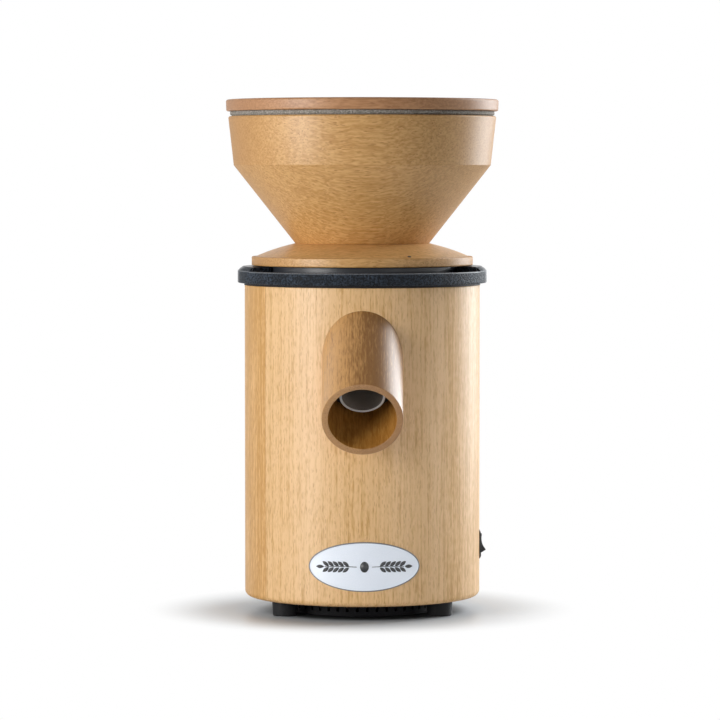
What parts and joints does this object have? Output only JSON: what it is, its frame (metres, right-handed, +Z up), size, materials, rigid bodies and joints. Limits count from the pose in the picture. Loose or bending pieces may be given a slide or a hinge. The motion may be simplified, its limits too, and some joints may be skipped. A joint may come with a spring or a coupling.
{
  "type": "electric grain mill",
  "caption": "Upright wooden electric grain mill: round casing with a slanted flour spout and side rocker switch, black top ring, turning funnel hopper with a flat lid.",
  "frame": {"origin": "on the floor under the casing's upright axis", "axes": "+Z up along the casing's axis, -Y the front where the spout points, +X the side with the switch"},
  "size_m": [0.2176, 0.2565, 0.408],
  "materials": {
    "casing_beech": "oiled beech, upright grain",
    "hopper_beech": "oiled turned beech, grain across",
    "lid_beech": "oiled redder beech",
    "ring_plastic": "fine textured black",
    "collar_plastic": "smooth dark grey, satin",
    "black_plastic": "moulded black",
    "tube_plastic": "smooth light grey",
    "block_plastic": "moulded ivory",
    "badge_plastic": "satin white",
    "seal_rubber": "speckled light grey",
    "black_rubber": "matt black",
    "lead_rubber": "insulated wire, black",
    "casting": "cast, machined seats",
    "steel": "turned and zinc plated",
    "blackened_steel": "blackened",
    "lamination_steel": "stacked sheet",
    "brass": "turned",
    "copper": "enamelled copper wire",
    "can": "drawn can",
    "stone": "corundum and ceramic, coarse"
  },
  "bodies": {
    "housing": {"casing": "casing_beech", "spout": "casing_beech", "outlet_tube": "tube_plastic", "outlet_seal": "black_rubber", "badge": "badge_plastic", "ring_gasket": "black_rubber", "top_ring": "ring_plastic", "thread_ring": "brass", "ring_screws": "blackened_steel", "milling_chamber": "casting", "chamber_screws": "steel", "motor_hanger_screws": "steel", "chamber_cover": "casting", "cover_screws": "steel", "shaft_seal": "black_rubber", "upper_shield": "casting", "lower_shield": "casting", "stator_core": "lamination_steel", "windings": "copper", "through_bolts": "steel", "upper_bearing": "steel", "lower_bearing": "steel", "thermal_cutout": "black_plastic", "run_capacitor": "can", "capacitor_clip": "steel", "terminal_block": "block_plastic", "wall_screws": "steel", "internal_leads": "lead_rubber", "switch_housing": "black_plastic", "cable_gland": "black_plastic", "gland_nut": "black_plastic", "base_plate": "black_plastic", "base_screws": "steel", "vent_pan": "black_plastic", "pan_screws": "steel", "feet": "black_rubber", "foot_screws": "steel"},
    "stone_holder": {"stone_holder": "casting", "upper_stone": "stone", "guide_pins": "steel", "holder_springs": "steel"},
    "hopper": {"hopper": "hopper_beech", "hopper_base": "hopper_beech", "hopper_collar": "collar_plastic", "thrust_washer": "brass", "collar_screws": "steel", "setting_mark": "black_plastic"},
    "lid": {"lid_disc": "lid_beech", "lid_locator": "hopper_beech", "lid_seal": "seal_rubber"},
    "rotor": {"shaft": "steel", "rotor_core": "lamination_steel", "fan": "black_plastic", "stone_carrier": "casting", "lower_stone": "stone", "feed_screw": "steel"},
    "rocker": {"rocker": "black_plastic"}
  },
  "joints": [
    {"name": "stone_feed", "type": "slide", "parent": "housing", "child": "stone_holder", "axis": [0, 0, 1], "range_m": [-0.00026, 0.00101], "deforming": ["holder_springs"]},
    {"name": "fineness_turn", "type": "hinge", "parent": "stone_holder", "child": "hopper", "pos_m": [0, 0, 0.27], "axis": [0, 0, 1], "range_deg": [-60, 240]},
    {"name": "lid_lift", "type": "slide", "parent": "hopper", "child": "lid", "axis": [0, 0, 1], "range_m": [0, 0.08]},
    {"name": "rotor_spin", "type": "hinge", "parent": "housing", "child": "rotor", "pos_m": [0, 0, 0.12], "axis": [0, 0, 1], "continuous": true},
    {"name": "rocker_tilt", "type": "hinge", "parent": "housing", "child": "rocker", "pos_m": [0.09, 0, 0.0523], "axis": [0, 1, 0], "range_deg": [0, 28]}
  ],
  "couplings": [
    {"joint": "stone_feed", "follows": "fineness_turn", "m_per_rad": 0.00023873}
  ]
}
